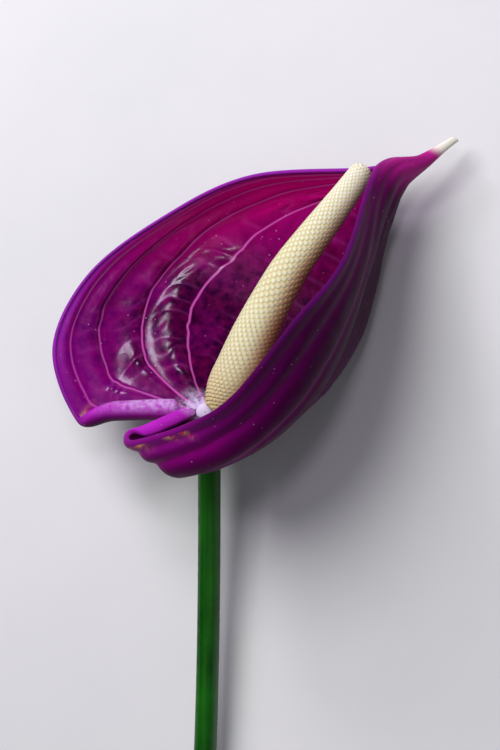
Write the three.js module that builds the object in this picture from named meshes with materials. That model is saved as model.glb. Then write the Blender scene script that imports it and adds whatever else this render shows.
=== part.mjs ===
// Anthurium flower: one inflorescence cut with a length of its stalk, lying on a table.
//
// Millimetres, +Z up. +Y points from the cut end of the stalk to the flower, and the origin
// is on the table, under the middle of the flower's bounding box.
//
// Three grown pieces meet at the node at the top of the stalk:
//   peduncle  the stalk, cut across at its lower end
//   spathe    the purple bract, one folded sheet that ends in a pale thread-like cusp
//   spadix    the cream spike of packed florets that stands in the fold
import * as THREE from 'three';

// ---------------------------------------------------------------- driving dimensions

const STALK_LENGTH = 150;
const STALK_RADIUS = 2.45;
const STALK_TOP_RADIUS = 2.0;
const STALK_SIDES = 14;
const STALK_STEPS = 40;
const STALK_NECK = 0.12;          // share of the stalk over which it narrows to the node
const STALK_CHAMFER = 0.006;      // share of the stalk that its bevelled top takes
const STALK_TOP_FLAT = 0.75;      // of the top radius, inside the bevel
const CUT_SLANT = 1.1;            // how far the cut end leans across the stalk
const CUT_REACH = 0.5;            // rings this near the end belong to the cut

const SPADIX_SIDES = 26;
const SPADIX_STEPS = 30;
const SPADIX_RADIUS = 4.98;       // at the thickest place, a fifth of the way up
const SPADIX_TIP_RADIUS = 2.35;
const SPADIX_FOOT_SHARE = 0.54;   // of the thickest radius
const SPADIX_FOOT_END = 0.18;     // share of the length where the foot reaches full girth
const SPADIX_TAPER_START = 0.25;
const SPADIX_TAPER_POWER = 1.15;  // above 1, so that the taper sets in gently
const SPADIX_TIP_START = 0.962;   // the rounded tip starts here
const SPADIX_TIP_STEPS = 6;

const BLADE_THICKNESS = 1.35;     // beside the midrib
const MARGIN_THICKNESS = 0.85;
const CUSP_THICKNESS = 0.55;
const WALL_POWER = 1.5;           // above 1, so that the wall thins mostly near the margin
const CUSP_START = 0.84;          // share of the blade's length where the cusp begins
const BLADE_ROWS = 38;
const BLADE_COLUMNS = 32;
const ROLL_COLUMNS = 5;

// The two edges of the cleft behind the stalk are rolled inwards like a scroll.
const SCROLL_RADIUS = 1.4;
const SCROLL_TURN = 235;          // degrees
const RIM_RADIUS = 0.45;          // the rest of the margin only has a soft lip
const RIM_TURN = 70;
const SCROLL_START = 0.01;        // shares of the blade's length
const SCROLL_FULL = 0.07;
const SCROLL_FADE = 0.25;
const SCROLL_END = 0.33;
const LIP_NARROWS = 0.8;          // from here to the tip the lip shrinks with the cusp
const LIP_AT_TIP = 0.4;           // of its radius

const HEAD_ANGLE = 47;            // from +X to the midrib, seen from above
const ROLL = 14.5;                // about the stalk, so that the flower rests on its back
const PITCH = 1.15;               // about the X axis, so that the cut end touches the table

const MATERIALS = {
  stalk: { color: 0x2f6b22, roughness: 0.45 },
  spathe: { color: 0x7c0a63, roughness: 0.32 },
  spadix: { color: 0xe9dca6, roughness: 0.6 },
};

// ---------------------------------------------------------------- the bract's guide curves

// The inner face of the spathe is lofted across seven curves that run as its veins do, from
// the node out round one lobe or the other and on to the tip. Each point is [x, y, z]: x along
// the chord of the midrib, y across towards the far half and z up, all from the node. Point k
// of every curve lies on station k, so the stations are the lines across the blade.
const NEAR_MARGIN = [
  [-1.6, 0.4, 1.4], [-5.4, 2.2, 5.5], [-10.2, 4.2, 10.5], [-14.9, 6.5, 16], [-4.2, 0.4, 26],
  [7, -2.6, 33], [26, -1.2, 33], [41.4, 0.1, 26], [61, 7.7, 10.5], [69.2, 3.1, 4.9],
  [77.4, 1.0, 2.3],
];
const NEAR_OUTER_VEIN = [
  [-0.9, -1.2, 1.8], [-4, -4.0, 7], [-8, -5.5, 12.5], [-10, -6.4, 18], [0, -10.8, 24.5],
  [14, -12.1, 25.5], [28, -9.6, 23], [43.5, -3.6, 17.5], [61.3, 6.0, 10.3], [69.5, 3.0, 5],
  [77.5, 0.8, 2.3],
];
const NEAR_INNER_VEIN = [
  [0.9, -1.9, 0.9], [2.5, -6.5, 4], [5.2, -11, 7.5], [9.5, -13, 11], [17.5, -13.4, 12.5],
  [26.5, -11.8, 12], [35.5, -8.4, 9.5], [47, -2.6, 8], [61.7, 3.2, 7.3], [70.2, 1.9, 4.3],
  [77.7, 0.5, 2.2],
];
const MIDRIB = [
  [1.9, -0.9, -0.7], [7, -4.9, -3.8], [14, -8, -6.2], [21, -9.8, -7.5], [28, -10.0, -7.8],
  [37, -8.2, -7], [45.5, -4.2, -4.8], [54, 0.1, -1.2], [62.8, 2.7, 2.4], [70.6, 1.7, 3],
  [77.8, 0.4, 2],
];
const FAR_INNER_VEIN = [
  [1.3, 1.3, -0.9], [3.6, 6.5, -4], [8, 12.3, -8.5], [13, 16.2, -12], [19, 18, -14.5],
  [27.4, 18.1, -15.5], [36.5, 17.9, -14.5], [48, 13.2, -9.5], [60.3, 5.6, -0.6],
  [69.9, 2.3, 1.8], [77.7, 0.5, 1.8],
];
const FAR_OUTER_VEIN = [
  [-0.6, 1.9, -0.6], [-1.5, 9, -3.5], [-1, 15.8, -7], [2, 21, -10.5], [8, 25.4, -14],
  [18, 27.4, -16], [31, 26, -15.5], [45, 20, -10], [60.2, 7.6, -0.5], [69.5, 2.9, 1.9],
  [77.5, 0.8, 1.7],
];
const FAR_MARGIN = [
  [-1.8, 1.3, 0], [-6.4, 6.6, -0.5], [-12.7, 12.9, -1.5], [-18.6, 18.6, -3],
  [-11.2, 32.6, -7], [5.3, 37.7, -10.5], [25, 34.2, -12], [43.3, 26.2, -7.5],
  [60.4, 9.2, 0.4], [69, 3.6, 2.4], [77.4, 1.0, 1.7],
];

// ---------------------------------------------------------------- axes of the round pieces

const SPADIX_AXIS = [
  [2.1, -1.3, 1.9], [6.5, -0.4, 2.9], [12, 1.1, 4.1], [18.4, 3.3, 5.2], [24.8, 5.2, 6.1],
  [33.2, 7.2, 6.9], [41, 8.2, 7.2], [48, 8.9, 7], [54.3, 9.6, 6.4], [60.4, 10.5, 5.6],
];
// Seen along the flower's own axes: x to the right of the stalk, y along it and z up.
const STALK_AXIS = [
  [0.2, 0.2, -3.2], [0.6, -3, -5.0], [0.8, -14, -6.6], [0.7, -36, -8.2], [0.2, -62, -9.8],
  [-0.9, -90, -11.4], [-2.8, -120, -12.8], [-5.4, -STALK_LENGTH, -14],
];

// ---------------------------------------------------------------- helpers

const radians = THREE.MathUtils.degToRad;
const { lerp, smoothstep } = THREE.MathUtils;

/** A curve through points given as [x, y, z]. */
function curveThrough(points) {
  return new THREE.CatmullRomCurve3(points.map((p) => new THREE.Vector3(...p)), false, 'catmullrom');
}

/** A closed mesh without the helper attributes that a lofted shape has no use for. */
function finished(geometry) {
  geometry.deleteAttribute('uv');
  geometry.computeVertexNormals();
  return geometry;
}

/** Bends a turned shape, made upright along Y, so that its axis follows a curve. */
function bendAlong(profile, sides, axis) {
  const geometry = new THREE.LatheGeometry(profile, sides);
  const place = geometry.getAttribute('position');
  const local = new THREE.Vector3();
  const side = new THREE.Vector3();
  const up = new THREE.Vector3();
  for (let i = 0; i < place.count; i += 1) {
    local.fromBufferAttribute(place, i);
    const tangent = axis.getTangent(local.y);
    side.set(0, 0, 1).cross(tangent).normalize();
    up.copy(tangent).cross(side);
    const point = axis.getPoint(local.y);
    point.addScaledVector(side, local.z).addScaledVector(up, local.x);
    place.setXYZ(i, point.x, point.y, point.z);
  }
  return geometry;
}

// ---------------------------------------------------------------- spathe

const SLOPE_STEP = 0.004;         // reach of the differences that give the face's slopes
const MARGIN_INSIDE = 0.97;       // a place just inside the margin, which shows where outward is

const guides = [
  NEAR_MARGIN, NEAR_OUTER_VEIN, NEAR_INNER_VEIN, MIDRIB, FAR_INNER_VEIN, FAR_OUTER_VEIN, FAR_MARGIN,
].map(curveThrough);

/** A point of the inner face: along from the node to the tip, across from -1 to 1. */
function facePoint(along, across) {
  const station = guides.map((guide) => guide.getPoint(along));
  return new THREE.CatmullRomCurve3(station, false, 'catmullrom').getPoint((across + 1) / 2);
}

/** The unit normal of the inner face, pointing into the fold. */
function faceNormal(along, across) {
  const a0 = Math.max(along - SLOPE_STEP, 0);
  const a1 = Math.min(along + SLOPE_STEP, 1);
  const c0 = Math.max(across - SLOPE_STEP, -1);
  const c1 = Math.min(across + SLOPE_STEP, 1);
  const lengthwise = facePoint(a1, across).sub(facePoint(a0, across));
  const crosswise = facePoint(along, c1).sub(facePoint(along, c0));
  return lengthwise.cross(crosswise).normalize();
}

/** How strongly the margin is rolled at this share of the length, from 0 to 1. */
function scrollShare(along) {
  const opening = smoothstep(along, SCROLL_START, SCROLL_FULL);
  const closing = 1 - smoothstep(along, SCROLL_FADE, SCROLL_END);
  return opening * closing;
}

/** A point of the rolled rim beyond the margin; turned goes from 0 at the margin to 1. */
function rimPoint(along, side, turned) {
  const share = scrollShare(along);
  const narrowing = lerp(1, LIP_AT_TIP, smoothstep(along, LIP_NARROWS, 1));
  const radius = lerp(RIM_RADIUS, SCROLL_RADIUS, share) * narrowing;
  const turn = radians(lerp(RIM_TURN, SCROLL_TURN, share)) * turned;
  const edge = facePoint(along, side);
  const normal = faceNormal(along, side);
  const inside = facePoint(along, side * MARGIN_INSIDE);
  const outward = edge.clone().sub(inside);
  outward.addScaledVector(normal, -outward.dot(normal)).normalize();
  const point = edge.clone();
  point.addScaledVector(outward, radius * Math.sin(turn));
  point.addScaledVector(normal, radius * (1 - Math.cos(turn)));
  const facing = normal.clone().multiplyScalar(Math.cos(turn));
  facing.addScaledVector(outward, -Math.sin(turn));
  return { point, facing };
}

/** Wall thickness at a place on the blade. */
function wall(along, across) {
  const outwards = Math.min(Math.abs(across), 1) ** WALL_POWER;
  const body = lerp(BLADE_THICKNESS, MARGIN_THICKNESS, outwards);
  return lerp(body, CUSP_THICKNESS, smoothstep(along, CUSP_START, 1));
}

/** Inner-face point and normal for a column that may lie on the blade or on a rolled rim. */
function sheetPoint(along, column) {
  const last = BLADE_COLUMNS + 2 * ROLL_COLUMNS;
  if (column < ROLL_COLUMNS) {
    return rimPoint(along, -1, 1 - column / ROLL_COLUMNS);
  }
  if (column > last - ROLL_COLUMNS) {
    return rimPoint(along, 1, 1 - (last - column) / ROLL_COLUMNS);
  }
  const across = ((column - ROLL_COLUMNS) / BLADE_COLUMNS) * 2 - 1;
  return { point: facePoint(along, across), facing: faceNormal(along, across) };
}

/** The spathe: a flat box of one layer, its top laid on the inner face. */
function spatheGeometry() {
  const columns = BLADE_COLUMNS + 2 * ROLL_COLUMNS;
  const geometry = new THREE.BoxGeometry(BLADE_ROWS, columns, 1, BLADE_ROWS, columns, 1);
  const place = geometry.getAttribute('position');
  for (let i = 0; i < place.count; i += 1) {
    const along = place.getX(i) / BLADE_ROWS + 0.5;
    const column = Math.round(place.getY(i) + columns / 2);
    const across = ((column - ROLL_COLUMNS) / BLADE_COLUMNS) * 2 - 1;
    const { point, facing } = sheetPoint(along, column);
    if (place.getZ(i) < 0) {
      point.addScaledVector(facing, -wall(along, across));
    }
    place.setXYZ(i, point.x, point.y, point.z);
  }
  return finished(geometry);
}

// ---------------------------------------------------------------- spadix

/** Radius of the spike at a share of its length. */
function spadixRadius(t) {
  const filled = Math.sin(Math.min(t / SPADIX_FOOT_END, 1) * Math.PI / 2);
  const foot = lerp(SPADIX_FOOT_SHARE, 1, filled);
  const tapered = Math.max((t - SPADIX_TAPER_START) / (1 - SPADIX_TAPER_START), 0);
  return foot * lerp(SPADIX_RADIUS, SPADIX_TIP_RADIUS, tapered ** SPADIX_TAPER_POWER);
}

/** The spike with a rounded tip and a flat foot. */
function spadixGeometry() {
  const profile = [new THREE.Vector2(0, 0)];
  for (let i = 0; i <= SPADIX_STEPS; i += 1) {
    const t = (i / SPADIX_STEPS) * SPADIX_TIP_START;
    profile.push(new THREE.Vector2(spadixRadius(t), t));
  }
  const tipRadius = spadixRadius(SPADIX_TIP_START);
  for (let i = 1; i < SPADIX_TIP_STEPS; i += 1) {
    const angle = (i / SPADIX_TIP_STEPS) * Math.PI / 2;
    const t = SPADIX_TIP_START + (1 - SPADIX_TIP_START) * Math.sin(angle);
    profile.push(new THREE.Vector2(tipRadius * Math.cos(angle), t));
  }
  profile.push(new THREE.Vector2(0, 1));
  return finished(bendAlong(profile, SPADIX_SIDES, curveThrough(SPADIX_AXIS)));
}

// ---------------------------------------------------------------- peduncle

/** The stalk: round, a little thinner at the node, cut across at a slant. */
function stalkGeometry() {
  const flat = STALK_TOP_RADIUS * STALK_TOP_FLAT;
  const profile = [new THREE.Vector2(0, 0), new THREE.Vector2(flat, 0)];
  for (let i = 0; i <= STALK_STEPS; i += 1) {
    const t = lerp(STALK_CHAMFER, 1, i / STALK_STEPS);
    const radius = lerp(STALK_TOP_RADIUS, STALK_RADIUS, smoothstep(t, 0, STALK_NECK));
    profile.push(new THREE.Vector2(radius, t));
  }
  profile.push(new THREE.Vector2(0, 1));
  const axis = curveThrough(STALK_AXIS);
  const geometry = bendAlong(profile, STALK_SIDES, axis);
  const place = geometry.getAttribute('position');
  const end = axis.getPoint(1);
  for (let i = 0; i < place.count; i += 1) {
    if (Math.abs(place.getY(i) - end.y) < CUT_REACH) {
      place.setY(i, place.getY(i) + ((place.getX(i) - end.x) / STALK_RADIUS) * CUT_SLANT);
    }
  }
  return finished(geometry);
}

// ---------------------------------------------------------------- assembly

/** A named piece with its own material. */
function piece(name, geometry, finish) {
  const mesh = new THREE.Mesh(geometry, new THREE.MeshStandardMaterial({ ...finish, metalness: 0 }));
  mesh.name = name;
  return mesh;
}

const head = new THREE.Group();
head.add(piece('spathe', spatheGeometry(), MATERIALS.spathe));
head.add(piece('spadix', spadixGeometry(), MATERIALS.spadix));
head.rotation.z = radians(HEAD_ANGLE);

const lying = new THREE.Group();
lying.add(head);
lying.add(piece('peduncle', stalkGeometry(), MATERIALS.stalk));
lying.rotation.set(radians(PITCH), radians(ROLL), 0, 'XYZ');

const flower = new THREE.Group();
flower.add(lying);
const bounds = new THREE.Box3().setFromObject(flower, true);
const middle = bounds.getCenter(new THREE.Vector3());
lying.position.set(-middle.x, -middle.y, -bounds.min.z);

export default flower;
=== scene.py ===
"""Anthurium flower: the finished look of the spathe, the spadix and the cut stalk.

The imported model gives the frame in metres, with the flower lying on the table. Sizes here are
in millimetres and are turned into metres once, by FlowerFrame, when a mesh is placed.
"""
import logging
import math
from dataclasses import dataclass, field
from enum import Enum

import bmesh
import bpy
import numpy as np
from mathutils import Matrix, Vector


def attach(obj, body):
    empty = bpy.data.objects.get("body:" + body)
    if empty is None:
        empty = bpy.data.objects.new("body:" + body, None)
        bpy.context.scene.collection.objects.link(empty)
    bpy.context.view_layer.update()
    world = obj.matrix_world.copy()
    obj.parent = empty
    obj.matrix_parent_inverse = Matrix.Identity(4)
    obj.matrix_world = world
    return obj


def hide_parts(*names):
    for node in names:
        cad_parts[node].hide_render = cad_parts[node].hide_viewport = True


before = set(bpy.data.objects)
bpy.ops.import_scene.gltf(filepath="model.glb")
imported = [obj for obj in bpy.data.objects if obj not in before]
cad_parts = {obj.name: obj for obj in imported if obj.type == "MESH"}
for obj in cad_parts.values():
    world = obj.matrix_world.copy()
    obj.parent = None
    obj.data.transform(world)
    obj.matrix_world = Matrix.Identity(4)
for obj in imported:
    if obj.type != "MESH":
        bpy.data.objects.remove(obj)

log = logging.getLogger("anthurium")

MM = 0.001
TAU = 2.0 * math.pi
Array = np.ndarray
Point = tuple[float, float, float]
Span = tuple[float, float]


# ------------------------------------------------------------------ shared curves and noise


def lerp(low: Array | float, high: Array | float, share: Array | float) -> Array | float:
    """Mixes low and high by share."""
    return low + (high - low) * share


def smoothstep(value: Array | float, start: float, end: float) -> Array | float:
    """Eases from 0 at start to 1 at end."""
    share = np.clip((np.asarray(value, float) - start) / (end - start), 0.0, 1.0)
    return share * share * (3.0 - 2.0 * share)


def fading(value: Array | float, start: float, end: float) -> Array | float:
    """Eases from 1 at start to 0 at end."""
    return 1.0 - smoothstep(value, start, end)


def bell(value: Array | float, width: float) -> Array | float:
    """A soft peak of height 1 at 0; it falls to 1/e at the width."""
    return np.exp(-((value / width) ** 2))


def normalised(vectors: Array) -> Array:
    """Scales rows of a vector array to unit length."""
    length = np.linalg.norm(vectors, axis=-1, keepdims=True)
    return vectors / np.maximum(length, 1e-12)


def padded(points: Array) -> Array:
    """Adds a mirrored point at both ends of the first axis, as the spline's end tangents need."""
    first = 2.0 * points[:1] - points[1:2]
    last = 2.0 * points[-1:] - points[-2:-1]
    return np.concatenate([first, points, last])


def spline_weights(share: Array, count: int) -> tuple[Array, Array]:
    """Finds the span and the four weights of a uniform Catmull-Rom spline.

    Args:
        share: places along the spline, 0 to 1.
        count: the number of points that the spline passes through.

    Returns:
        The index of each place's first padded point, and the weights, one row per place.
    """
    place = np.clip(share, 0.0, 1.0) * (count - 1)
    span = np.minimum(place.astype(int), count - 2)
    w = place - span
    weights = np.stack([
        -0.5 * w + w**2 - 0.5 * w**3,
        1.0 - 2.5 * w**2 + 1.5 * w**3,
        0.5 * w + 2.0 * w**2 - 1.5 * w**3,
        -0.5 * w**2 + 0.5 * w**3,
    ], axis=1)
    return span, weights


@dataclass(frozen=True)
class Curve:
    """A smooth curve through a few points, in millimetres."""

    points: tuple[Point, ...]

    def at(self, share: Array) -> Array:
        """Points at places from 0 to 1."""
        share = np.atleast_1d(np.asarray(share, float))
        control = padded(np.array(self.points, float))
        span, weights = spline_weights(share, len(self.points))
        return sum(weights[:, k, None] * control[span + k] for k in range(4))

    def frames(self, share: Array) -> tuple[Array, Array, Array, Array]:
        """Points with a tangent, a level sideways direction and an upward one.

        Args:
            share: places from 0 to 1.

        Returns:
            Points, tangents, sideways and upward unit vectors.
        """
        step = 1e-3
        share = np.atleast_1d(np.asarray(share, float))
        ahead = self.at(np.minimum(share + step, 1.0))
        behind = self.at(np.maximum(share - step, 0.0))
        tangent = normalised(ahead - behind)
        side = normalised(np.cross(np.array([0.0, 0.0, 1.0]), tangent))
        return self.at(share), tangent, side, np.cross(tangent, side)


class ValueNoise:
    """Smooth random values over a plane, the same on every run."""

    def __init__(self, seed: int, size: int = 64) -> None:
        """Draws the lattice of random values."""
        self.size = size
        self.lattice = np.random.default_rng(seed).random((size, size))

    def __call__(self, x: Array, y: Array) -> Array:
        """Values from -1 to 1 at x and y, which count in lattice cells."""
        column = np.floor(x).astype(int)
        row = np.floor(y).astype(int)
        u = smoothstep(x - column, 0.0, 1.0)
        v = smoothstep(y - row, 0.0, 1.0)

        def corner(dx: int, dy: int) -> Array:
            """Values at one corner of each cell."""
            return self.lattice[(column + dx) % self.size, (row + dy) % self.size]

        low = lerp(corner(0, 0), corner(1, 0), u)
        high = lerp(corner(0, 1), corner(1, 1), u)
        return lerp(low, high, v) * 2.0 - 1.0


# ------------------------------------------------------------------ the frame of the flower


@dataclass(frozen=True)
class FlowerFrame:
    """Turns the flower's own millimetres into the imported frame's metres.

    The flower's frame has its origin at the node at the top of the stalk, +Y along the stalk
    towards the flower and +Z up before the flower rolls on to its back.
    """

    head_degrees: float = 47.0        # from +X to the chord of the midrib
    roll_degrees: float = 14.5
    pitch_degrees: float = 1.15
    node_mm: tuple[float, float, float] = (-9.417, 46.431, 17.652)

    def lying(self) -> Matrix:
        """The turn from the flower's frame to the table."""
        roll = Matrix.Rotation(math.radians(self.roll_degrees), 4, "Y")
        pitch = Matrix.Rotation(math.radians(self.pitch_degrees), 4, "X")
        return Matrix.Translation(Vector(self.node_mm)) @ pitch @ roll

    def from_stalk(self, points: Array) -> Array:
        """Places points of the stalk's frame, in metres."""
        matrix = np.array(self.lying())
        return (points @ matrix[:3, :3].T + matrix[:3, 3]) * MM

    def from_head(self, points: Array) -> Array:
        """Places points of the head's frame, whose x runs along the midrib, in metres."""
        turn = np.array(Matrix.Rotation(math.radians(self.head_degrees), 3, "Z"))
        return self.from_stalk(points @ turn.T)


FLOWER = FlowerFrame()


# ------------------------------------------------------------------ mesh helpers


def place_vertices(verts: list[bmesh.types.BMVert], points: Array) -> None:
    """Moves vertices to points, one row each."""
    for vert, point in zip(verts, points.tolist()):
        vert.co = point


def finished(bm: bmesh.types.BMesh, name: str) -> bpy.types.Object:
    """Makes a smooth-shaded object at the origin from a bmesh, and frees the bmesh.

    Args:
        bm: the shape, in metres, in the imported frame.
        name: the piece's name.

    Returns:
        The object, linked to the scene.
    """
    mesh = bpy.data.meshes.new(name)
    bm.to_mesh(mesh)
    bm.free()
    mesh.shade_smooth()
    piece = bpy.data.objects.new(name, mesh)
    bpy.context.scene.collection.objects.link(piece)
    return piece


class Piece:
    """A piece with a shape of its own and a finish."""

    def dressed(self) -> bpy.types.Object:
        """Builds the piece and gives it its material."""
        piece = self.build()
        piece.data.materials.append(self.finish.material())
        log.info("%s: %d faces", piece.name, len(piece.data.polygons))
        return piece


def loft_rings(bm: bmesh.types.BMesh, rings: list[Array]) -> list[list[bmesh.types.BMVert]]:
    """Extrudes a circle from ring to ring and closes both ends with a fan.

    Args:
        bm: the bmesh that takes the shape.
        rings: one array of points per ring, all of the same length, in metres.

    Returns:
        The vertices of each ring, in order.
    """
    sides = len(rings[0])
    circle = bmesh.ops.create_circle(bm, cap_ends=False, radius=1.0, segments=sides)
    verts = list(circle["verts"])
    place_vertices(verts, rings[0])
    made = [verts]
    edges = list({edge for vert in verts for edge in vert.link_edges})
    for ring in rings[1:]:
        out = bmesh.ops.extrude_edge_only(bm, edges=edges)
        new_edges = [item for item in out["geom"] if isinstance(item, bmesh.types.BMEdge)]
        fresh = {item for item in out["geom"] if isinstance(item, bmesh.types.BMVert)}
        edges = [edge for edge in new_edges if all(vert in fresh for vert in edge.verts)]
        ordered = []
        for vert in made[-1]:
            ordered.append(next(e.other_vert(vert) for e in vert.link_edges
                                if e.other_vert(vert) in fresh))
        place_vertices(ordered, ring)
        made.append(ordered)
    for ring in (made[0], made[-1]):
        rim = [edge for edge in {e for vert in ring for e in vert.link_edges} if edge.is_boundary]
        cap = bmesh.ops.contextual_create(bm, geom=rim)["faces"]
        bmesh.ops.poke(bm, faces=cap)
    bmesh.ops.recalc_face_normals(bm, faces=bm.faces)
    return made


# ------------------------------------------------------------------ shader helper


# Sockets of the Mix node, whose names repeat for every data type.
MIX_FIRST_COLOUR = 6
MIX_SECOND_COLOUR = 7
MIX_RESULT_COLOUR = 2


class Shader:
    """A material under construction, with short calls for the nodes that a finish needs."""

    def __init__(self, name: str) -> None:
        """Starts an empty node material with one principled shader."""
        self.material = bpy.data.materials.new(name)
        self.material.use_nodes = True
        self.tree = self.material.node_tree
        self.tree.nodes.clear()
        self.output = self.tree.nodes.new("ShaderNodeOutputMaterial")
        self.surface = self.tree.nodes.new("ShaderNodeBsdfPrincipled")
        self.tree.links.new(self.surface.outputs["BSDF"], self.output.inputs["Surface"])

    def join(self, source: object, target: bpy.types.NodeSocket) -> None:
        """Links a socket, or sets a plain value, on a target socket."""
        if isinstance(source, bpy.types.NodeSocket):
            self.tree.links.new(source, target)
        else:
            target.default_value = source

    def set(self, name: str, value: object) -> None:
        """Links or sets an input of the principled shader."""
        self.join(value, self.surface.inputs[name])

    def attribute(self, name: str) -> bpy.types.NodeSocket:
        """A number stored on the mesh."""
        node = self.tree.nodes.new("ShaderNodeAttribute")
        node.attribute_name = name
        return node.outputs["Fac"]

    def position(self) -> bpy.types.NodeSocket:
        """Object coordinates, in metres."""
        return self.tree.nodes.new("ShaderNodeTexCoord").outputs["Object"]

    def math(self, operation: str, *values: object) -> bpy.types.NodeSocket:
        """One arithmetic step on sockets or plain numbers."""
        node = self.tree.nodes.new("ShaderNodeMath")
        node.operation = operation
        for value, socket in zip(values, node.inputs):
            self.join(value, socket)
        return node.outputs[0]

    def noise(self, scale: float, detail: float = 4.0,
              roughness: float = 0.5) -> bpy.types.NodeSocket:
        """Fractal noise; scale counts features per metre."""
        node = self.tree.nodes.new("ShaderNodeTexNoise")
        node.inputs["Scale"].default_value = scale
        node.inputs["Detail"].default_value = detail
        node.inputs["Roughness"].default_value = roughness
        self.join(self.position(), node.inputs["Vector"])
        return node.outputs["Fac"]

    def cells(self, scale: float) -> bpy.types.NodeSocket:
        """Distance to the nearest random point; scale counts cells per metre."""
        node = self.tree.nodes.new("ShaderNodeTexVoronoi")
        node.inputs["Scale"].default_value = scale
        self.join(self.position(), node.inputs["Vector"])
        return node.outputs["Distance"]

    def between(self, value: object, low: float, high: float) -> bpy.types.NodeSocket:
        """Maps a value from low..high on to a clamped 0..1."""
        node = self.tree.nodes.new("ShaderNodeMapRange")
        node.inputs["From Min"].default_value = low
        node.inputs["From Max"].default_value = high
        self.join(value, node.inputs["Value"])
        return node.outputs["Result"]

    def mix(self, share: object, first: object, second: object) -> bpy.types.NodeSocket:
        """Mixes two colours by a share."""
        node = self.tree.nodes.new("ShaderNodeMix")
        node.data_type = "RGBA"
        self.join(share, node.inputs["Factor"])
        self.join(first, node.inputs[MIX_FIRST_COLOUR])
        self.join(second, node.inputs[MIX_SECOND_COLOUR])
        return node.outputs[MIX_RESULT_COLOUR]

    def tint(self, base: object, share: object, towards: object,
             strength: float = 1.0) -> bpy.types.NodeSocket:
        """Mixes a base colour towards another, by a share times a strength."""
        if strength != 1.0:
            share = self.math("MULTIPLY", share, strength)
        return self.mix(share, base, towards)

    def bump(self, height: object, distance_mm: float, strength: float = 1.0) -> None:
        """Adds fine relief to the shading."""
        node = self.tree.nodes.new("ShaderNodeBump")
        node.inputs["Distance"].default_value = distance_mm * MM
        node.inputs["Strength"].default_value = strength
        self.join(height, node.inputs["Height"])
        self.join(node.outputs["Normal"], self.surface.inputs["Normal"])


Colour = tuple[float, float, float, float]


def colour(red: int, green: int, blue: int) -> Colour:
    """A screen colour, 0 to 255, as linear light."""
    def channel(value: int) -> float:
        """One screen channel as linear light."""
        share = value / 255.0
        return share / 12.92 if share <= 0.04045 else ((share + 0.055) / 1.055) ** 2.4
    return channel(red), channel(green), channel(blue), 1.0


# ------------------------------------------------------------------ spathe


class Side(Enum):
    """The two halves of the folded spathe."""

    NEAR = -1
    FAR = 1


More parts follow.
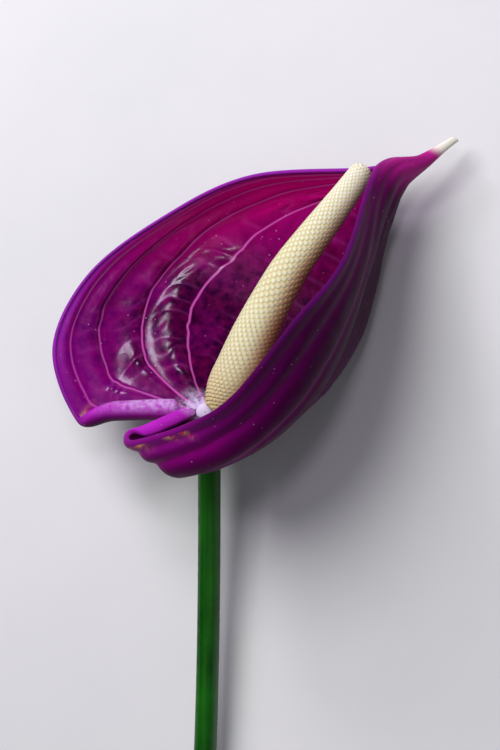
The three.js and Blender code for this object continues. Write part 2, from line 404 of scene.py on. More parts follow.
@dataclass(frozen=True)
class Blade:
    """The sheet of the spathe: its guide curves, wall and rolled edges, in millimetres.

    Seven guide curves run as the veins do, from the node round a lobe and on to the tip.
    """

    near_margin: tuple[Point, ...] = (
        (-1.6, 0.4, 1.4), (-5.4, 2.2, 5.5), (-10.2, 4.2, 10.5), (-14.9, 6.5, 16),
        (-4.2, 0.4, 26), (7.0, -2.6, 33), (26.0, -1.2, 33), (41.4, 0.1, 26), (61, 7.7, 10.5),
        (69.2, 3.1, 4.9), (77.4, 1.0, 2.3))
    near_outer_vein: tuple[Point, ...] = (
        (-0.9, -1.2, 1.8), (-4, -4.0, 7), (-8, -5.5, 12.5), (-10, -6.4, 18), (0, -10.8, 24.5),
        (14, -12.1, 25.5), (28, -9.6, 23), (43.5, -3.6, 17.5), (61.3, 6.0, 10.3),
        (69.5, 3.0, 5), (77.5, 0.8, 2.3))
    near_inner_vein: tuple[Point, ...] = (
        (0.9, -1.9, 0.9), (2.5, -6.5, 4), (5.2, -11, 7.5), (9.5, -13, 11), (17.5, -13.4, 12.5),
        (26.5, -11.8, 12), (35.5, -8.4, 9.5), (47, -2.6, 8), (61.7, 3.2, 7.3), (70.2, 1.9, 4.3),
        (77.7, 0.5, 2.2))
    midrib: tuple[Point, ...] = (
        (1.9, -0.9, -0.7), (7, -4.9, -3.8), (14, -8, -6.2), (21, -9.8, -7.5), (28, -10.0, -7.8),
        (37, -8.2, -7), (45.5, -4.2, -4.8), (54, 0.1, -1.2), (62.8, 2.7, 2.4), (70.6, 1.7, 3),
        (77.8, 0.4, 2))
    far_inner_vein: tuple[Point, ...] = (
        (1.3, 1.3, -0.9), (3.6, 6.5, -4), (8, 12.3, -8.5), (13, 16.2, -12), (19, 18, -14.5),
        (27.4, 18.1, -15.5), (36.5, 17.9, -14.5), (48, 13.2, -9.5), (60.3, 5.6, -0.6),
        (69.9, 2.3, 1.8), (77.7, 0.5, 1.8))
    far_outer_vein: tuple[Point, ...] = (
        (-0.6, 1.9, -0.6), (-1.5, 9, -3.5), (-1, 15.8, -7), (2, 21, -10.5), (8, 25.4, -14),
        (18, 27.4, -16), (31, 26, -15.5), (45, 20, -10), (60.2, 7.6, -0.5), (69.5, 2.9, 1.9),
        (77.5, 0.8, 1.7))
    far_margin: tuple[Point, ...] = (
        (-1.8, 1.3, 0), (-6.4, 6.6, -0.5), (-12.7, 12.9, -1.5), (-18.6, 18.6, -3),
        (-11.2, 32.6, -7), (5.3, 37.7, -10.5), (25, 34.2, -12), (43.3, 26.2, -7.5),
        (60.4, 9.2, 0.4), (69, 3.6, 2.4), (77.4, 1.0, 1.7))

    wall: float = 1.35               # beside the midrib
    margin_wall: float = 0.85
    cusp_wall: float = 0.55
    wall_power: float = 1.5          # above 1, so that the wall thins mostly near the margin
    cusp_start: float = 0.84         # share of the length
    scroll_radius: float = 1.4
    scroll_turn: float = 235.0       # degrees
    rim_radius: float = 0.45
    rim_turn: float = 70.0           # degrees
    lip_narrows: float = 0.8         # from here to the tip the lip shrinks
    lip_at_tip: float = 0.4          # of its radius
    scroll_opens: tuple[float, float] = (0.01, 0.07)
    scroll_fades: tuple[float, float] = (0.25, 0.33)

    def face(self, along: Array, across: Array) -> Array:
        """Points of the inner face.

        Args:
            along: shares of the length from the node to the tip.
            across: -1 at the near margin, 0 at the midrib, 1 at the far margin.

        Returns:
            One point per row, in the head's frame.
        """
        guides = (self.near_margin, self.near_outer_vein, self.near_inner_vein, self.midrib,
                  self.far_inner_vein, self.far_outer_vein, self.far_margin)
        net = padded(np.swapaxes(np.array(guides, float), 0, 1))
        span, weights = spline_weights(along, len(self.midrib))
        station = sum(weights[:, k, None, None] * net[span + k] for k in range(4))
        control = padded(np.swapaxes(station, 0, 1))
        column, shares = spline_weights((across + 1.0) / 2.0, len(guides))
        rows = np.arange(len(along))
        return sum(shares[:, k, None] * control[column + k, rows] for k in range(4))

    def slopes(self, along: Array, across: Array) -> tuple[Array, Array]:
        """Derivatives of the face along and across, in millimetres per unit."""
        step = 0.004
        ahead, behind = np.minimum(along + step, 1.0), np.maximum(along - step, 0.0)
        left, right = np.minimum(across + step, 1.0), np.maximum(across - step, -1.0)
        lengthwise = self.face(ahead, across) - self.face(behind, across)
        crosswise = self.face(along, left) - self.face(along, right)
        return lengthwise / (ahead - behind)[:, None], crosswise / (left - right)[:, None]

    def scroll(self, along: Array) -> Array:
        """How strongly the margin is rolled, from 0 to 1."""
        return smoothstep(along, *self.scroll_opens) * fading(along, *self.scroll_fades)

    def thickness(self, along: Array, across: Array) -> Array:
        """Wall thickness."""
        body = lerp(self.wall, self.margin_wall, np.minimum(np.abs(across), 1.0) ** self.wall_power)
        return lerp(body, self.cusp_wall, smoothstep(along, self.cusp_start, 1.0))

    def sheet(self, along: Array, across: Array) -> tuple[Array, Array]:
        """Inner-face points and normals, on past the margins round the rolled rim.

        Args:
            along: shares of the length.
            across: from -2 to 2; beyond 1 it counts how far the rim has turned.

        Returns:
            Points and unit normals that point into the fold.
        """
        flat = np.clip(across, -1.0, 1.0)
        side = np.sign(across)
        turned = np.maximum(np.abs(across) - 1.0, 0.0)
        edge = self.face(along, flat)
        lengthwise, crosswise = self.slopes(along, flat)
        normal = normalised(np.cross(lengthwise, crosswise))
        outward = crosswise * side[:, None]
        outward = normalised(outward - normal * np.sum(outward * normal, axis=1)[:, None])
        share = self.scroll(along)
        shrink = lerp(1.0, self.lip_at_tip, smoothstep(along, self.lip_narrows, 1.0))
        radius = lerp(self.rim_radius, self.scroll_radius, share) * shrink
        turn = np.radians(lerp(self.rim_turn, self.scroll_turn, share)) * turned
        sine, cosine = np.sin(turn)[:, None], np.cos(turn)[:, None]
        point = edge + radius[:, None] * (outward * sine + normal * (1.0 - cosine))
        return point, normal * cosine - outward * sine


@dataclass(frozen=True)
class Vein:
    """One of the nested veins: its place across the half, and how strongly it shows."""

    across: float
    strength: float


VEINS = (Vein(0.0, 1.0), Vein(0.335, 1.0), Vein(0.655, 1.0), Vein(0.845, 0.8), Vein(0.95, 0.6))


@dataclass(frozen=True)
class Puckers:
    """The relief of the living sheet: sunken veins, and tissue that swells between them."""

    crest_power: float = 2.6         # the higher, the nearer the swelling is to the inner vein
    swell_share: float = 0.15        # height of the tissue per width of its strip
    swell_most: float = 1.0          # mm
    swell_loss: float = 0.7          # share of the swelling that is gone near the tip
    swell_sinks: Span = (0.42, 0.66)
    relief_starts: Span = (0.015, 0.10)
    relief_ends: Span = (0.80, 0.95)
    vein_length: float = 118.0       # mm, of the outermost strip
    cells: int = 80                  # heights drawn for each strip, then used again
    cell_length: float = 5.4         # mm between the small cross veins
    cross_width: float = 0.4         # mm
    ripple_height: float = 0.34      # mm
    ridge_height: float = 0.75       # mm, on the outer face
    ridge_width: float = 1.25        # mm

    def place(self, along: Array, across: Array) -> Array:
        """Distance from the midrib as a share of the half, with the veins' small wanderings."""
        side = np.where(across < 0, Side.NEAR.value, Side.FAR.value)
        far = np.abs(across)
        slow = ValueNoise(11)(along * 13.0 + side * 7.3, far * 3.0 + 9.0)
        quick = ValueNoise(12)(along * 46.0 + side * 3.1, far * 6.0 + 4.0)
        free = smoothstep(far, 0.0, 0.12) * smoothstep(1.0 - far, 0.0, 0.1)
        return far + (0.011 * slow + 0.0035 * quick) * free

    def measure(self, along: Array, across: Array, blade: Blade) -> dict[str, Array]:
        """Works out the relief and the vein marks at places on the blade.

        Args:
            along: shares of the length.
            across: from -1 to 1, clipped at the margins.
            blade: the sheet, for its local width.

        Returns:
            Arrays named place, breadth, swell, ridge (mm), cross and lump (0 to 1).
        """
        _, crosswise = blade.slopes(along, across)
        breadth = np.linalg.norm(crosswise, axis=1)
        near = across < 0
        place = self.place(along, across)
        fade = smoothstep(along, *self.relief_starts) * fading(along, *self.relief_ends)
        rng = np.random.default_rng(5)
        edges = [vein.across for vein in VEINS] + [1.0]
        strips = [self.strip(rng, edges[k:k + 2], along, near, place, breadth)
                  for k in range(len(VEINS))]
        swell, lump, cross = (sum(parts) for parts in zip(*strips))
        ridge = sum(vein.strength * bell(np.abs(place - vein.across) * breadth, self.ridge_width)
                    for vein in VEINS)
        narrow = smoothstep(breadth, 1.5, 14.0)
        return {
            "place": place,
            "breadth": breadth,
            "swell": swell * fade,
            "ridge": self.ridge_height * np.minimum(ridge, 1.2) * fade * narrow,
            "cross": cross * fade,
            "lump": lump,
        }

    def strip(self, rng: np.random.Generator, edges: list[float], along: Array, near: Array,
              place: Array, breadth: Array) -> tuple[Array, Array, Array]:
        """Swells the tissue between two veins, in cells parted by small cross veins.

        Args:
            rng: gives each cell its height.
            edges: places of the inner and the outer vein.
            along: shares of the length.
            near: where the near half is.
            place: distances from the midrib as shares of the half.
            breadth: widths of the half, in mm.

        Returns:
            Swelling in mm, lumps and cross veins from 0 to 1; all are 0 outside the strip.
        """
        inner, outer = edges
        share = (place - inner) / (outer - inner)
        inside = (share >= 0.0) & (share < 1.0)
        share = np.clip(share, 0.0, 1.0)
        heights = rng.random((2, self.cells))
        slant = rng.uniform(0.5, 1.0)
        jitter = ValueNoise(int(rng.integers(1, 1000)))
        side = np.where(near, Side.NEAR.value, Side.FAR.value)
        cells = along * self.vein_length * lerp(0.72, 1.0, inner) / self.cell_length
        cells = cells - slant * share + 0.55 * jitter(along * 22.0 + side * 5.1, place * 8.0)
        phase = cells - np.floor(cells)
        lot = heights[near.astype(int), np.floor(cells).astype(int) % self.cells]
        crest = 1.0 / (1.0 + self.crest_power)
        crest_height = (1.0 - crest) ** self.crest_power * crest
        skewed = (1.0 - share) ** self.crest_power * share / crest_height
        profile = np.where(near, np.sin(np.pi * share) ** 1.3, skewed)
        width = (outer - inner) * breadth
        tall = np.minimum(self.swell_share * width, self.swell_most)
        tall = tall * (1.0 - self.swell_loss * smoothstep(along, *self.swell_sinks))
        wide = smoothstep(width, 2.5, 7.0)
        bulge = np.sin(np.pi * phase) * lot * profile * wide
        swell = tall * profile * 0.8 + self.ripple_height * bulge
        gap = np.minimum(phase, 1.0 - phase) * self.cell_length
        cross = bell(gap, self.cross_width) * smoothstep(profile, 0.0, 0.5) * wide
        return tuple(np.where(inside, values, 0.0) for values in (swell, bulge, cross))


@dataclass(frozen=True)
class SpatheFinish:
    """Waxy purple tissue: glossy and dark inside, duller outside, with pale veins and cusp. Painted
    shade darkens the inner face near the midrib and node and the outer face in its vein valleys;
    painted highlights in pale lavender sit near the node and on the rolled lobes' crests.
    """

    # Darkest purple: partly the tissue's own dark mottling, partly painted shade where the spadix
    # and the near half shade the inner face.
    deep_and_shade: Colour = colour(40, 0, 42)
    body: Colour = colour(104, 0, 94)
    flush: Colour = colour(196, 0, 112)
    violet: Colour = colour(114, 0, 118)
    outer: Colour = colour(150, 0, 126)
    # Painted shade: the dark end of the outer face, used in the vein valleys and over most of the
    # near outer face.
    outer_painted_shade: Colour = colour(26, 0, 24)
    lobe: Colour = colour(186, 34, 188)
    vein: Colour = colour(226, 96, 196)
    rim: Colour = colour(170, 44, 190)
    edge: Colour = colour(120, 44, 170)
    # Painted highlight: pale lavender where the lights glint near the node and on the rolled lobes'
    # crests.
    painted_highlight: Colour = colour(214, 196, 232)
    cusp: Colour = colour(246, 240, 222)
    cusp_pink: Colour = colour(206, 40, 150)
    scar: Colour = colour(226, 60, 40)
    scar_pale: Colour = colour(240, 190, 110)
    speck: Colour = colour(214, 140, 206)
    vein_half_width: float = 0.13    # mm
    vein_soft_edge: float = 0.22     # mm

    def vein_lines(self, shader: Shader) -> bpy.types.NodeSocket:
        """A crisp line on every vein, from the stored place and breadth."""
        place = shader.attribute("place")
        breadth = shader.attribute("breadth")
        lines = 0.0
        for vein in VEINS:
            away = shader.math("ABSOLUTE", shader.math("SUBTRACT", place, vein.across))
            away = shader.math("MULTIPLY", away, breadth)
            line = shader.between(away, self.vein_half_width + self.vein_soft_edge,
                                  self.vein_half_width)
            lines = shader.math("MAXIMUM", lines, shader.math("MULTIPLY", line, vein.strength))
        return lines

    def material(self) -> bpy.types.Material:
        """Builds the material."""
        shader = Shader("spathe tissue")
        outside = shader.attribute("outside")
        blotch = shader.between(shader.noise(130.0, 3.0, 0.55), 0.36, 0.64)
        fine = shader.between(shader.noise(520.0, 4.0, 0.6), 0.35, 0.7)
        # Tone mixes the darkest purple towards the body: random blotches of the tissue's own, plus
        # painted shade from the tone attribute.
        tone = shader.math("MULTIPLY_ADD", blotch, 0.7, shader.attribute("tone"))
        tone = shader.math("SUBTRACT", tone, 0.42)
        inner = shader.mix(shader.between(tone, 0.0, 1.0), self.deep_and_shade, self.body)
        inner = shader.tint(inner, shader.attribute("flush"), self.flush)
        inner = shader.tint(inner, shader.attribute("violet"), self.violet)
        inner = shader.tint(inner, fine, self.flush, 0.16)
        # Painted shade: the outer face is dark in the vein valleys and over most of the near half,
        # lighter on the ridges.
        outer = shader.mix(shader.attribute("painted_ridge_shade"), self.outer_painted_shade, self.outer)
        outer = shader.tint(outer, fine, self.body, 0.18)
        tissue = shader.mix(outside, inner, outer)
        tissue = shader.tint(tissue, shader.attribute("lobe"), self.lobe)
        lines = shader.math("MULTIPLY", self.vein_lines(shader), shader.attribute("vein_share"))
        tissue = shader.tint(tissue, lines, self.vein)
        tissue = shader.tint(tissue, shader.attribute("cross"), self.vein, 0.07)
        tissue = shader.tint(tissue, shader.attribute("rim"), self.rim)
        tissue = shader.tint(tissue, shader.attribute("edge"), self.edge)
        dots = shader.between(shader.cells(640.0), 0.12, 0.06)
        sparse = shader.between(shader.noise(150.0, 2.0), 0.5, 0.6)
        tissue = shader.tint(tissue, shader.math("MULTIPLY", dots, sparse), self.speck, 0.6)
        # Painted highlight: pale lavender patches near the node and along the rolled lobes' crests.
        painted_highlight_share = shader.math("MULTIPLY", shader.attribute("painted_highlight"),
                           shader.between(shader.noise(900.0, 3.0, 0.6), 0.3, 0.6))
        tissue = shader.tint(tissue, painted_highlight_share, self.painted_highlight)
        scar = shader.mix(shader.between(shader.noise(800.0, 2.0), 0.42, 0.56), self.scar,
                          self.scar_pale)
        for mark, tone in (("scar", scar), ("cusp_blush", self.cusp_pink), ("cusp", self.cusp)):
            tissue = shader.tint(tissue, shader.attribute(mark), tone)
        shader.set("Base Color", tissue)
        rough = shader.math("MULTIPLY_ADD", outside, 0.26, 0.17)
        rough = shader.math("ADD", rough, shader.math("MULTIPLY", fine, 0.09))
        shader.set("Roughness", rough)
        shader.set("Specular IOR Level", shader.math("MULTIPLY_ADD", outside, -0.26, 0.34))
        grain = shader.noise(1300.0, 3.0, 0.6)
        relief = shader.math("MULTIPLY_ADD", lines, 0.5, grain)
        shader.bump(relief, 0.06, 0.5)
        return shader.material


@dataclass(frozen=True)
class Spread:
    """Where the marks of the spathe start and end.

    Those on the rim count from 1 at the margin to 2 at the rolled edge, the others along.
    """

    band: Span = (0.972, 0.985)      # the pale band inside the far margin
    lip: Span = (0.985, 1.03)
    roll_starts: Span = (0.97, 1.06)
    crest: float = 1.16              # the top of the rolled lobes
    crest_width: float = 0.13
    near_lip_starts: Span = (0.52, 0.66)
    # The next three say where the painted highlights near the node and on the lobes' crests end.
    highlight_ends: Span = (0.015, 0.075)
    near_crest_ends: Span = (0.06, 0.14)
    far_crest_ends: Span = (0.12, 0.24)
    veins_end: Span = (0.80, 0.92)
    bare_ends: Span = (0.86, 0.93)
    blush_starts: Span = (0.85, 0.925)
    cusp_starts: Span = (0.918, 0.955)
    glow_ends: Span = (0.30, 0.62)   # the brighter lobes on the outer face


@dataclass
class Spathe(Piece):
    """The purple bract: one folded sheet with rolled lobes and a pale cusp."""

    rows: int = 236
    blade_columns: int = 148
    rim_columns: int = 14
    blade: Blade = field(default_factory=Blade)
    puckers: Puckers = field(default_factory=Puckers)
    spread: Spread = field(default_factory=Spread)
    finish: SpatheFinish = field(default_factory=SpatheFinish)

    MARKS = ("outside", "place", "breadth", "vein_share", "cross", "tone", "flush", "violet",
             "rim", "edge", "lobe", "painted_highlight", "scar", "cusp", "cusp_blush", "painted_ridge_shade")

    def columns(self) -> Array:
        """Places across the sheet, from one rolled edge to the other."""
        rim = np.linspace(0.0, 1.0, self.rim_columns + 1)[1:]
        body = np.linspace(-1.0, 1.0, self.blade_columns + 1)
        return np.concatenate([-1.0 - rim[::-1], body, 1.0 + rim])

    def build(self) -> bpy.types.Object:
        """Models the sheet as an inner and an outer face joined at the rim."""
        columns = self.columns()
        bm = bmesh.new()
        for name in self.MARKS:
            bm.verts.layers.float.new(name)
        bmesh.ops.create_grid(bm, x_segments=self.rows, y_segments=len(columns) - 1, size=0.5)
        grid = np.array([vert.co for vert in bm.verts])
        along = grid[:, 0] + 0.5
        column = np.rint((grid[:, 1] + 0.5) * (len(columns) - 1)).astype(int)
        across = columns[column]
        point, facing = self.blade.sheet(along, across)
        marks = self.puckers.measure(along, np.clip(across, -1.0, 1.0), self.blade)
        calm = 1.0 - np.clip(np.abs(across) - 1.0, 0.0, 1.0)
        inner = point + facing * (marks["swell"] * calm)[:, None]
        follow = np.where(across < 0, -0.55, 0.8)
        lift = marks["swell"] * calm * follow - self.blade.thickness(along, across)
        lift -= marks["ridge"] * np.where(across < 0, -0.6, 0.3)
        outer = point + facing * lift[:, None]
        inner, outer = FLOWER.from_head(inner), FLOWER.from_head(outer)
        first = list(bm.verts)
        place_vertices(first, inner)
        copy = bmesh.ops.duplicate(bm, geom=list(bm.faces))
        outer_faces = [item for item in copy["geom"] if isinstance(item, bmesh.types.BMFace)]
        twins = [copy["vert_map"][vert] for vert in first]
        place_vertices(twins, outer)
        bmesh.ops.reverse_faces(bm, faces=outer_faces)
        bmesh.ops.bridge_loops(bm, edges=[edge for edge in bm.edges if edge.is_boundary])
        if bm.calc_volume(signed=True) < 0.0:
            bmesh.ops.reverse_faces(bm, faces=bm.faces)
        inner_marks, outer_marks = self.dress(along, across, marks)
        for name in self.MARKS:
            layer = bm.verts.layers.float[name]
            for verts, values in ((first, inner_marks[name]), (twins, outer_marks[name])):
                for vert, value in zip(verts, values.tolist()):
                    vert[layer] = value
        return finished(bm, "spathe_bract")

    def dress(self, along: Array, across: Array,
              marks: dict[str, Array]) -> tuple[dict[str, Array], dict[str, Array]]:
        """Works out the numbers that the finish reads, for the inner and the outer face.

        Args:
            along: shares of the length, one per vertex of a face.
            across: places across, beyond 1 on the rolled rims.
            marks: the relief and the vein marks.

        Returns:
            Arrays by name, for the inner face and for the outer face.
        """
        inner = self.dress_inner(along, across, marks)
        return inner, self.dress_outer(along, across, marks, inner)

    def dress_inner(self, along: Array, across: Array,
                    marks: dict[str, Array]) -> dict[str, Array]:
        """Works out the numbers of the inner face; the arguments are those of dress."""
        spread = self.spread
        near = across < 0
        edge = np.abs(across)
        place = np.where(edge > 1.0, edge, marks["place"])
        bare = fading(along, *spread.bare_ends)
        scroll = self.blade.scroll(along)
        top = smoothstep(along, 0.30, 0.45) * fading(along, 0.78, 0.88) * ~near
        band = smoothstep(edge, *spread.band) * top
        lip = smoothstep(edge, *spread.lip) * (1.0 - scroll)
        near_rim = 0.15 * lip * smoothstep(along, *spread.near_lip_starts)
        rim = np.clip(np.where(near, near_rim, 0.5 * band + 0.2 * lip), 0.0, 1.0) * bare
        rolled = smoothstep(edge, *spread.roll_starts) * scroll
        crest = bell(edge - spread.crest, spread.crest_width) * scroll
        # Painted shade: the inner face is darker near the midrib and lower down, where the spadix
        # and the near half shade it, and on the swollen cells.
        tone = 0.02 + 0.62 * smoothstep(place, 0.20, 0.72) + 0.25 * smoothstep(place, 0.7, 0.9)
        tone += 0.75 * smoothstep(along, 0.40, 0.70) - 0.45 * np.clip(marks["lump"], 0.0, 1.0)
        flush = smoothstep(along, 0.40, 0.74) * lerp(0.25, 1.0, smoothstep(place, 0.15, 0.6))
        violet = 0.5 * smoothstep(place, 0.74, 1.0) * fading(along, 0.4, 0.62)
        # Painted highlight: pale lavender near the node and along the rolled lobes' crests.
        painted_highlight = 0.85 * fading(along, *spread.highlight_ends)
        painted_highlight = painted_highlight * np.where(near, 0.55, smoothstep(place, -0.2, 0.35))
        painted_highlight += 0.8 * crest * np.where(near, fading(along, *spread.near_crest_ends),
                                         fading(along, *spread.far_crest_ends))
        return {
            "outside": np.zeros_like(along),
            "place": place,
            "breadth": marks["breadth"],
            "vein_share": 0.68 * fading(along, *spread.veins_end) * np.where(near, 0.3, 1.0),
            "cross": marks["cross"],
            # Painted shade: the near half's inner face is dark all over.
            "tone": np.where(near, 0.02, tone),
            "flush": flush * np.where(near, 0.05, 1.0),
            "violet": violet * ~near,
            "rim": rim,
            "edge": 0.15 * smoothstep(edge, 1.6, 1.9) * (1.0 - scroll) * ~near * bare,
            "lobe": np.clip(np.where(near, rolled, 0.25 * rolled + 0.55 * crest), 0.0, 1.0),
            "painted_highlight": np.clip(painted_highlight, 0.0, 1.0),
            "scar": self.scars(along, across),
            "cusp": smoothstep(along, *spread.cusp_starts),
            "cusp_blush": smoothstep(along, *spread.blush_starts) * 0.8,
            "painted_ridge_shade": np.ones_like(along),
        }

    def dress_outer(self, along: Array, across: Array, marks: dict[str, Array],
                    inner: dict[str, Array]) -> dict[str, Array]:
        """Works out the numbers of the outer face, from those of the inner one.

        Args:
            along: shares of the length.
            across: places across, beyond 1 on the rolled rims.
            marks: the relief and the vein marks.
            inner: the numbers of the inner face.

        Returns:
            Arrays by name.
        """
        near = across < 0
        edge = np.abs(across)
        scroll = self.blade.scroll(along)
        high = np.clip(marks["ridge"] / self.puckers.ridge_height, 0.0, 1.0)
        glow = fading(along, *self.spread.glow_ends)
        over = np.where(near, smoothstep(edge, 1.15, 1.55), 0.8 * smoothstep(edge, 1.35, 1.7))
        # Painted highlight along the top of the rolled scroll.
        painted_top_highlight = smoothstep(edge, 1.5, 1.75) * scroll * fading(along, 0.12, 0.27)
        painted_top_highlight *= np.where(near, fading(along, 0.05, 0.12), 0.6)
        near_blush = 0.55 * smoothstep(along, 0.77, 0.85) * near
        # Painted shade: the outer face is dark, lighter on the lobes near the node and towards the
        # cusp, and darkest in the valleys between the vein ridges.
        lower = 0.26 + 0.50 * glow + 0.5 * smoothstep(along, 0.76, 0.86)
        return inner | {
            "outside": np.ones_like(along),
            "vein_share": 0.10 * inner["vein_share"],
            "cross": np.zeros_like(along),
            "lobe": np.maximum(over * scroll, 0.25 * glow * smoothstep(edge, 0.85, 1.0) * near),
            "painted_highlight": np.maximum(inner["painted_highlight"] * 0.5 * (edge < 1.0), painted_top_highlight),
            "cusp_blush": np.maximum(inner["cusp_blush"], near_blush),
            "painted_ridge_shade": np.clip(lower * (0.35 + 0.9 * high), 0.0, 1.0),
        }

    def scars(self, along: Array, across: Array) -> Array:
        """Where the lobes' edges are browned: spots given as along, across, reach and strength."""
        spots = ((0.300, -1.00, 0.006, 0.5), (0.325, -1.02, 0.009, 0.9), (0.372, -1.02, 0.006, 0.7),
                 (0.392, -1.00, 0.005, 0.8), (0.296, 1.02, 0.006, 0.5), (0.100, 1.12, 0.005, 0.5))
        total = np.zeros_like(along)
        for where, column, reach, strength in spots:
            gap = ((along - where) / reach) ** 2 + ((across - column) / 0.05) ** 2
            total = np.maximum(total, strength * np.exp(-gap))
        return total

    def make(self) -> None:
        """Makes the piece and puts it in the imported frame."""
        piece = self.dressed()
        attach(piece, "root")
        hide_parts("spathe")


# ------------------------------------------------------------------ spadix


@dataclass(frozen=True)
class SpadixFinish:
    """Cream florets with a pale dot each, partly the stigma and partly a painted glint, and faint
    olive gaps; warmer at the foot, and orange painted shade with bounce light on the right.
    """

    gap: Colour = colour(228, 213, 160)
    dome: Colour = colour(240, 235, 184)
    # Partly the stigma's own pale colour, partly a painted glint on each floret's top.
    dot: Colour = colour(255, 252, 232)
    tip: Colour = colour(252, 248, 222)
    foot: Colour = colour(208, 172, 100)
    # Painted shade with orange bounce light, on the spadix's right side.
    painted_bounce_shade: Colour = colour(196, 116, 66)

    def material(self) -> bpy.types.Material:
        """Builds the material."""
        shader = Shader("spadix florets")
        reach = shader.attribute("reach")
        pale = shader.attribute("tip")
        dome = shader.mix(shader.attribute("towards_tip"), self.foot, self.dome)
        dome = shader.tint(dome, pale, self.tip)
        dome = shader.tint(dome, shader.attribute("floret_age"), self.gap, 0.25)
        skin = shader.tint(dome, shader.between(reach, 0.62, 1.05), self.gap)
        # Pale dot on each floret's top: partly the stigma, partly a painted glint.
        skin = shader.tint(skin, shader.between(reach, 0.52, 0.2), self.dot, 0.5)
        # Painted shade with orange bounce light on the right side.
        skin = shader.tint(skin, shader.attribute("painted_bounce_side"), self.painted_bounce_shade, 0.85)
        fine = shader.noise(900.0, 3.0, 0.6)
        skin = shader.tint(skin, shader.between(fine, 0.5, 0.75), self.gap, 0.12)
        shader.set("Base Color", skin)
        shader.set("Roughness", shader.math("MULTIPLY_ADD", fine, 0.2, 0.38))
        shader.set("Subsurface Weight", 0.12)
        shader.set("Subsurface Radius", (0.0012, 0.0008, 0.0004))
        shader.set("Subsurface Scale", 1.0)
        shader.bump(shader.noise(2600.0, 2.0), 0.03, 0.4)
        return shader.material


